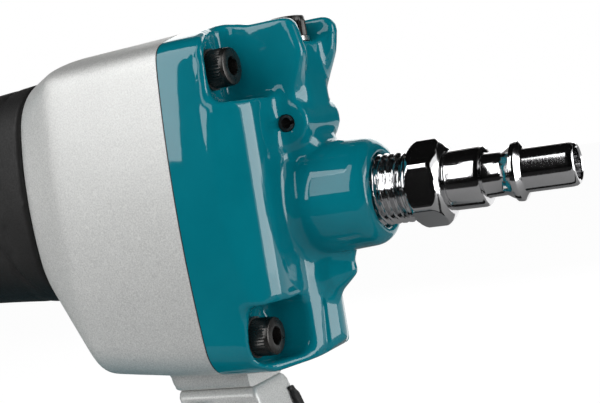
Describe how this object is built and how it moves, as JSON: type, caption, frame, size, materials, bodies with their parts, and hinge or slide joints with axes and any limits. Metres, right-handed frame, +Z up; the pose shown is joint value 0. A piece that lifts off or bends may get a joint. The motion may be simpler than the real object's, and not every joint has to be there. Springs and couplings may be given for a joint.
{
  "type": "pneumatic coil nailer",
  "caption": "Air nailer with a silver cast body, rubber grip, teal end cap and chrome air plug, a driver head, and a round hinged nail magazine below the handle.",
  "frame": {"origin": "centre of the nail exit, in the bottom face of the contact foot that touches the work", "axes": "+Z up along the drive axis, +X to the rear along the handle towards the air plug, Y across the tool"},
  "size_m": [0.2981, 0.12, 0.2707],
  "materials": {
    "silver_paint": "metallic silver paint on a casting, fine grain",
    "teal_paint": "glossy teal enamel on a casting",
    "grip_rubber": "matt soft grip",
    "black_screw": "black oxide",
    "bright_steel": "ground steel",
    "zinc_steel": "zinc plate",
    "chrome_plug": "polished chrome",
    "dark_steel": "blackened steel",
    "bare_aluminium": "machined aluminium",
    "black_plastic": "moulded plastic",
    "seal_rubber": "nitrile",
    "bumper_rubber": "urethane",
    "filter_brass": "sintered bronze"
  },
  "bodies": {
    "tool": {"main_housing": "silver_paint", "grip_sleeve": "grip_rubber", "end_cap": "teal_paint", "end_cap_gasket": "seal_rubber", "end_cap_screws": "black_screw", "end_cap_washers": "dark_steel", "cap_top_screw": "black_screw", "cap_top_washer": "zinc_steel", "air_plug": "chrome_plug", "inlet_filter": "filter_brass", "spring_pin": "dark_steel", "magazine_arm": "silver_paint", "arm_guard": "grip_rubber", "arm_bolts": "black_screw", "cylinder_sleeve": "bare_aluminium", "sleeve_seal": "seal_rubber", "piston_bumper": "bumper_rubber", "head_valve_spring": "bright_steel", "head_cap": "teal_paint", "head_gasket": "seal_rubber", "head_cap_screws": "black_screw", "deflector_bolt": "black_screw", "nose_body": "dark_steel", "nose_screws": "black_screw", "nose_door_pin": "bright_steel", "contact_spring": "bright_steel", "feed_cylinder": "bare_aluminium", "feed_screws": "black_screw", "feed_spring": "bright_steel", "magazine_body": "teal_paint", "magazine_screws": "black_screw", "guide_screws": "black_screw", "magazine_hinge_pin": "bright_steel", "platform_post": "bare_aluminium", "post_screw": "black_screw", "trigger_pin": "bright_steel", "trigger_valve_body": "black_plastic", "valve_seal": "seal_rubber", "valve_spring": "bright_steel"},
    "piston": {"drive_piston": "bare_aluminium", "piston_ring": "seal_rubber", "driver_blade": "bright_steel"},
    "head_valve": {"head_valve": "black_plastic", "head_valve_seal": "seal_rubber"},
    "contact_arm": {"contact_foot": "zinc_steel", "contact_link": "zinc_steel"},
    "depth_wheel": {"depth_wheel": "black_plastic"},
    "feeder": {"feed_piston": "bright_steel", "feed_pawl": "dark_steel"},
    "nose_door": {"nose_door": "dark_steel", "latch_pin": "bright_steel"},
    "latch": {"door_latch": "zinc_steel"},
    "magazine_door": {"magazine_door": "black_plastic"},
    "platform": {"nail_platform": "black_plastic"},
    "deflector": {"exhaust_deflector": "black_plastic"},
    "trigger": {"trigger": "black_plastic", "trigger_lever": "zinc_steel"},
    "valve_stem": {"valve_stem": "bright_steel"}
  },
  "joints": [
    {"name": "trigger", "type": "hinge", "parent": "tool", "child": "trigger", "pos_m": [0.048, 0, 0.1462], "axis": [0, -1, 0], "range_deg": [0, 10], "stiffness_Nm_per_rad": 0.05, "springref_deg": -11.46},
    {"name": "valve_stem", "type": "slide", "parent": "tool", "child": "valve_stem", "axis": [0, 0, 1], "range_m": [0, 0.00344], "deforming": ["valve_spring"]},
    {"name": "contact_arm", "type": "slide", "parent": "tool", "child": "contact_arm", "axis": [0, 0, 1], "range_m": [0, 0.01], "stiffness_N_per_m": 250, "springref_m": -0.02, "deforming": ["contact_spring"]},
    {"name": "depth_wheel", "type": "hinge", "parent": "contact_arm", "child": "depth_wheel", "pos_m": [-0.019, 0, 0.057], "axis": [0, 0, 1], "continuous": true},
    {"name": "drive_piston", "type": "slide", "parent": "tool", "child": "piston", "axis": [0, 0, -1], "range_m": [0, 0.0777]},
    {"name": "head_valve", "type": "slide", "parent": "tool", "child": "head_valve", "axis": [0, 0, 1], "range_m": [0, 0.004], "stiffness_N_per_m": 800, "springref_m": -0.01, "deforming": ["head_valve_spring"]},
    {"name": "feed_piston", "type": "slide", "parent": "tool", "child": "feeder", "axis": [1, 0, 0], "range_m": [0, 0.009], "stiffness_N_per_m": 300, "springref_m": -0.01},
    {"name": "nose_door", "type": "hinge", "parent": "tool", "child": "nose_door", "pos_m": [0.046, -0.009, 0.054], "axis": [0, 0, 1], "range_deg": [0, 85]},
    {"name": "door_latch", "type": "hinge", "parent": "nose_door", "child": "latch", "pos_m": [0.008, -0.0139, 0.054], "axis": [0, 0, 1], "range_deg": [0, 20], "stiffness_Nm_per_rad": 0.1, "springref_deg": -17.19},
    {"name": "magazine_door", "type": "hinge", "parent": "tool", "child": "magazine_door", "pos_m": [0.1735, -0.013, 0.033], "axis": [0, 0, 1], "range_deg": [0, 100]},
    {"name": "nail_platform", "type": "slide", "parent": "tool", "child": "platform", "axis": [0, 0, 1], "range_m": [0, 0.022]},
    {"name": "exhaust_deflector", "type": "hinge", "parent": "tool", "child": "deflector", "pos_m": [0, 0, 0.255], "axis": [0, 0, 1], "continuous": true}
  ],
  "couplings": [
    {"joint": "trigger", "follows": "valve_stem", "rad_per_m": 50.589}
  ]
}
